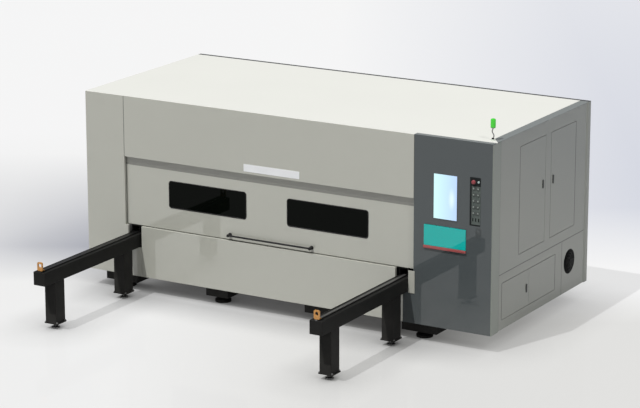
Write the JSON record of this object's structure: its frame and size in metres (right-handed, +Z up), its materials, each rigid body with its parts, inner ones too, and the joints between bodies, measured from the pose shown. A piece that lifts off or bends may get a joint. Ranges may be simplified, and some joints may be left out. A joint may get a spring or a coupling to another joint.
{
  "type": "fiber laser cutting machine",
  "caption": "Enclosed sheet metal laser cutter: box enclosure with lifting windowed front door, drawer table on front rails, gantry inside, control column with screen and service doors.",
  "frame": {"origin": "on the floor under the middle of the overall box", "axes": "+X to the right along the front, +Y into the machine, +Z up"},
  "size_m": [4.5, 3.674, 2.19],
  "materials": {
    "light_panel": "satin powder coat",
    "dark_panel": "satin powder coat",
    "side_panel": "satin powder coat",
    "roof_white": "satin powder coat",
    "black_frame": "satin paint",
    "track_steel": "ground steel",
    "slat_steel": "scorched steel",
    "stop_orange": "gloss paint",
    "beam_grey": "satin paint",
    "head_alloy": "anodised",
    "carriage_dark": "anodised",
    "equipment_grey": "textured powder coat",
    "window_glass": "tinted safety glass",
    "screen_glass": "lit display",
    "black_plastic": "fine grain",
    "pale_plastic": "fine grain",
    "red_plastic": "gloss",
    "red_paint": "satin",
    "teal_paint": "satin",
    "lamp_green": "translucent lens"
  },
  "bodies": {
    "machine": {"bed_sills": "black_frame", "bed_crossmembers": "black_frame", "bed_feet": "black_frame", "left_column_panel": "light_panel", "header_panel": "light_panel", "control_column": "dark_panel", "corner_post": "side_panel", "left_side_panel": "light_panel", "rear_panel": "side_panel", "roof_panel": "roof_white", "roof_trim": "dark_panel", "side_upper_frame": "side_panel", "side_lower_frame": "side_panel", "fan_panel": "side_panel", "cheek_plates": "light_panel", "partition": "side_panel", "door_guides": "black_frame", "outfeed_rails": "black_frame", "rail_tracks": "track_steel", "rail_legs": "black_frame", "rail_feet": "black_frame", "rail_stops": "stop_orange", "slag_tray": "slat_steel", "guide_beams": "beam_grey", "laser_source": "equipment_grey", "chiller": "equipment_grey", "control_plate": "equipment_grey", "fan_guard": "black_plastic", "screen": "screen_glass", "button_plate": "black_plastic", "keyboard_ledge": "red_paint", "lamp_stalk": "black_plastic", "lamp_lens": "lamp_green"},
    "front_door": {"lift_door": "light_panel", "door_windows": "window_glass", "door_handle": "track_steel"},
    "table": {"drawer_front": "light_panel", "table_frame": "black_frame", "table_slats": "slat_steel"},
    "front_axle": {"front_wheels": "track_steel"},
    "rear_axle": {"rear_wheels": "track_steel"},
    "gantry": {"gantry_beam": "beam_grey"},
    "carriage": {"head_carriage": "carriage_dark"},
    "head": {"cutting_head": "head_alloy"},
    "fan": {"fan_rotor": "black_plastic"},
    "stop": {"emergency_stop": "red_plastic"},
    "start": {"start_button": "pale_plastic"},
    "flap": {"keyboard_flap": "teal_paint"},
    "upper_front_leaf": {"upper_front_door": "side_panel"},
    "upper_rear_leaf": {"upper_rear_door": "side_panel"},
    "lower_front_leaf": {"lower_front_door": "side_panel"},
    "lower_rear_leaf": {"lower_rear_door": "side_panel"},
    "upper_front_latch": {"upper_front_lever": "black_plastic"},
    "upper_rear_latch": {"upper_rear_lever": "black_plastic"},
    "lower_latch": {"lower_lever": "black_plastic"},
    "rocker_1": {"rocker_1": "black_plastic"},
    "rocker_2": {"rocker_2": "black_plastic"},
    "rocker_3": {"rocker_3": "black_plastic"},
    "rocker_4": {"rocker_4": "black_plastic"},
    "rocker_5": {"rocker_5": "black_plastic"}
  },
  "joints": [
    {"name": "door_lift", "type": "slide", "parent": "machine", "child": "front_door", "axis": [0, 0, 1], "range_m": [0, 0.55]},
    {"name": "table_slide", "type": "slide", "parent": "machine", "child": "table", "axis": [0, -1, 0], "range_m": [0, 1.5]},
    {"name": "front_axle_roll", "type": "hinge", "parent": "table", "child": "front_axle", "pos_m": [-1.698, -0.0725, 0.6473], "axis": [1, 0, 0], "continuous": true},
    {"name": "rear_axle_roll", "type": "hinge", "parent": "table", "child": "rear_axle", "pos_m": [-1.698, 1.3975, 0.6473], "axis": [1, 0, 0], "continuous": true},
    {"name": "gantry_travel", "type": "slide", "parent": "machine", "child": "gantry", "axis": [1, 0, 0], "range_m": [0, 2.98]},
    {"name": "carriage_travel", "type": "slide", "parent": "gantry", "child": "carriage", "axis": [0, 1, 0], "range_m": [0, 1.5]},
    {"name": "head_travel", "type": "slide", "parent": "carriage", "child": "head", "axis": [0, 0, -1], "range_m": [0, 0.09]},
    {"name": "fan_spin", "type": "hinge", "parent": "machine", "child": "fan", "pos_m": [2.21, 1.44, 0.469], "axis": [1, 0, 0], "continuous": true},
    {"name": "stop_press", "type": "slide", "parent": "machine", "child": "stop", "axis": [0, 1, 0], "range_m": [0, 0.006]},
    {"name": "start_press", "type": "slide", "parent": "machine", "child": "start", "axis": [0, 1, 0], "range_m": [0, 0.004], "stiffness_N_per_m": 600},
    {"name": "flap_fold", "type": "hinge", "parent": "machine", "child": "flap", "pos_m": [1.547, -0.261, 0.955], "axis": [1, 0, 0], "range_deg": [0, 90]},
    {"name": "upper_front_hinge", "type": "hinge", "parent": "machine", "child": "upper_front_leaf", "pos_m": [2.24, 0.3225, 0.812], "axis": [0, 0, -1], "range_deg": [0, 110]},
    {"name": "upper_rear_hinge", "type": "hinge", "parent": "machine", "child": "upper_rear_leaf", "pos_m": [2.24, 1.5275, 0.812], "axis": [0, 0, 1], "range_deg": [0, 110]},
    {"name": "lower_front_hinge", "type": "hinge", "parent": "machine", "child": "lower_front_leaf", "pos_m": [2.24, -0.0165, 0.262], "axis": [0, 0, -1], "range_deg": [0, 110]},
    {"name": "lower_rear_hinge", "type": "hinge", "parent": "machine", "child": "lower_rear_leaf", "pos_m": [2.24, 1.1165, 0.262], "axis": [0, 0, 1], "range_deg": [0, 110]},
    {"name": "upper_front_lever_turn", "type": "hinge", "parent": "upper_front_leaf", "child": "upper_front_latch", "pos_m": [2.24, 0.8155, 1.3829], "axis": [1, 0, 0], "range_deg": [0, 90]},
    {"name": "upper_rear_lever_turn", "type": "hinge", "parent": "upper_rear_leaf", "child": "upper_rear_latch", "pos_m": [2.24, 1.0345, 1.3829], "axis": [-1, 0, 0], "range_deg": [0, 90]},
    {"name": "lower_lever_turn", "type": "hinge", "parent": "lower_front_leaf", "child": "lower_latch", "pos_m": [2.24, 0.498, 0.442], "axis": [1, 0, 0], "range_deg": [0, 90]},
    {"name": "rocker_1_tip", "type": "hinge", "parent": "machine", "child": "rocker_1", "pos_m": [2.08, -0.256, 1.555], "axis": [0, 0, 1], "range_deg": [-4, 4], "stiffness_Nm_per_rad": 0.6},
    {"name": "rocker_2_tip", "type": "hinge", "parent": "machine", "child": "rocker_2", "pos_m": [2.08, -0.256, 1.497], "axis": [0, 0, 1], "range_deg": [-4, 4], "stiffness_Nm_per_rad": 0.6},
    {"name": "rocker_3_tip", "type": "hinge", "parent": "machine", "child": "rocker_3", "pos_m": [2.08, -0.256, 1.439], "axis": [0, 0, 1], "range_deg": [-4, 4], "stiffness_Nm_per_rad": 0.6},
    {"name": "rocker_4_tip", "type": "hinge", "parent": "machine", "child": "rocker_4", "pos_m": [2.08, -0.256, 1.381], "axis": [0, 0, 1], "range_deg": [-4, 4], "stiffness_Nm_per_rad": 0.6},
    {"name": "rocker_5_tip", "type": "hinge", "parent": "machine", "child": "rocker_5", "pos_m": [2.08, -0.256, 1.323], "axis": [0, 0, 1], "range_deg": [-4, 4], "stiffness_Nm_per_rad": 0.6}
  ],
  "couplings": [
    {"joint": "front_axle_roll", "follows": "table_slide", "rad_per_m": 31.25},
    {"joint": "rear_axle_roll", "follows": "table_slide", "rad_per_m": 31.25}
  ]
}
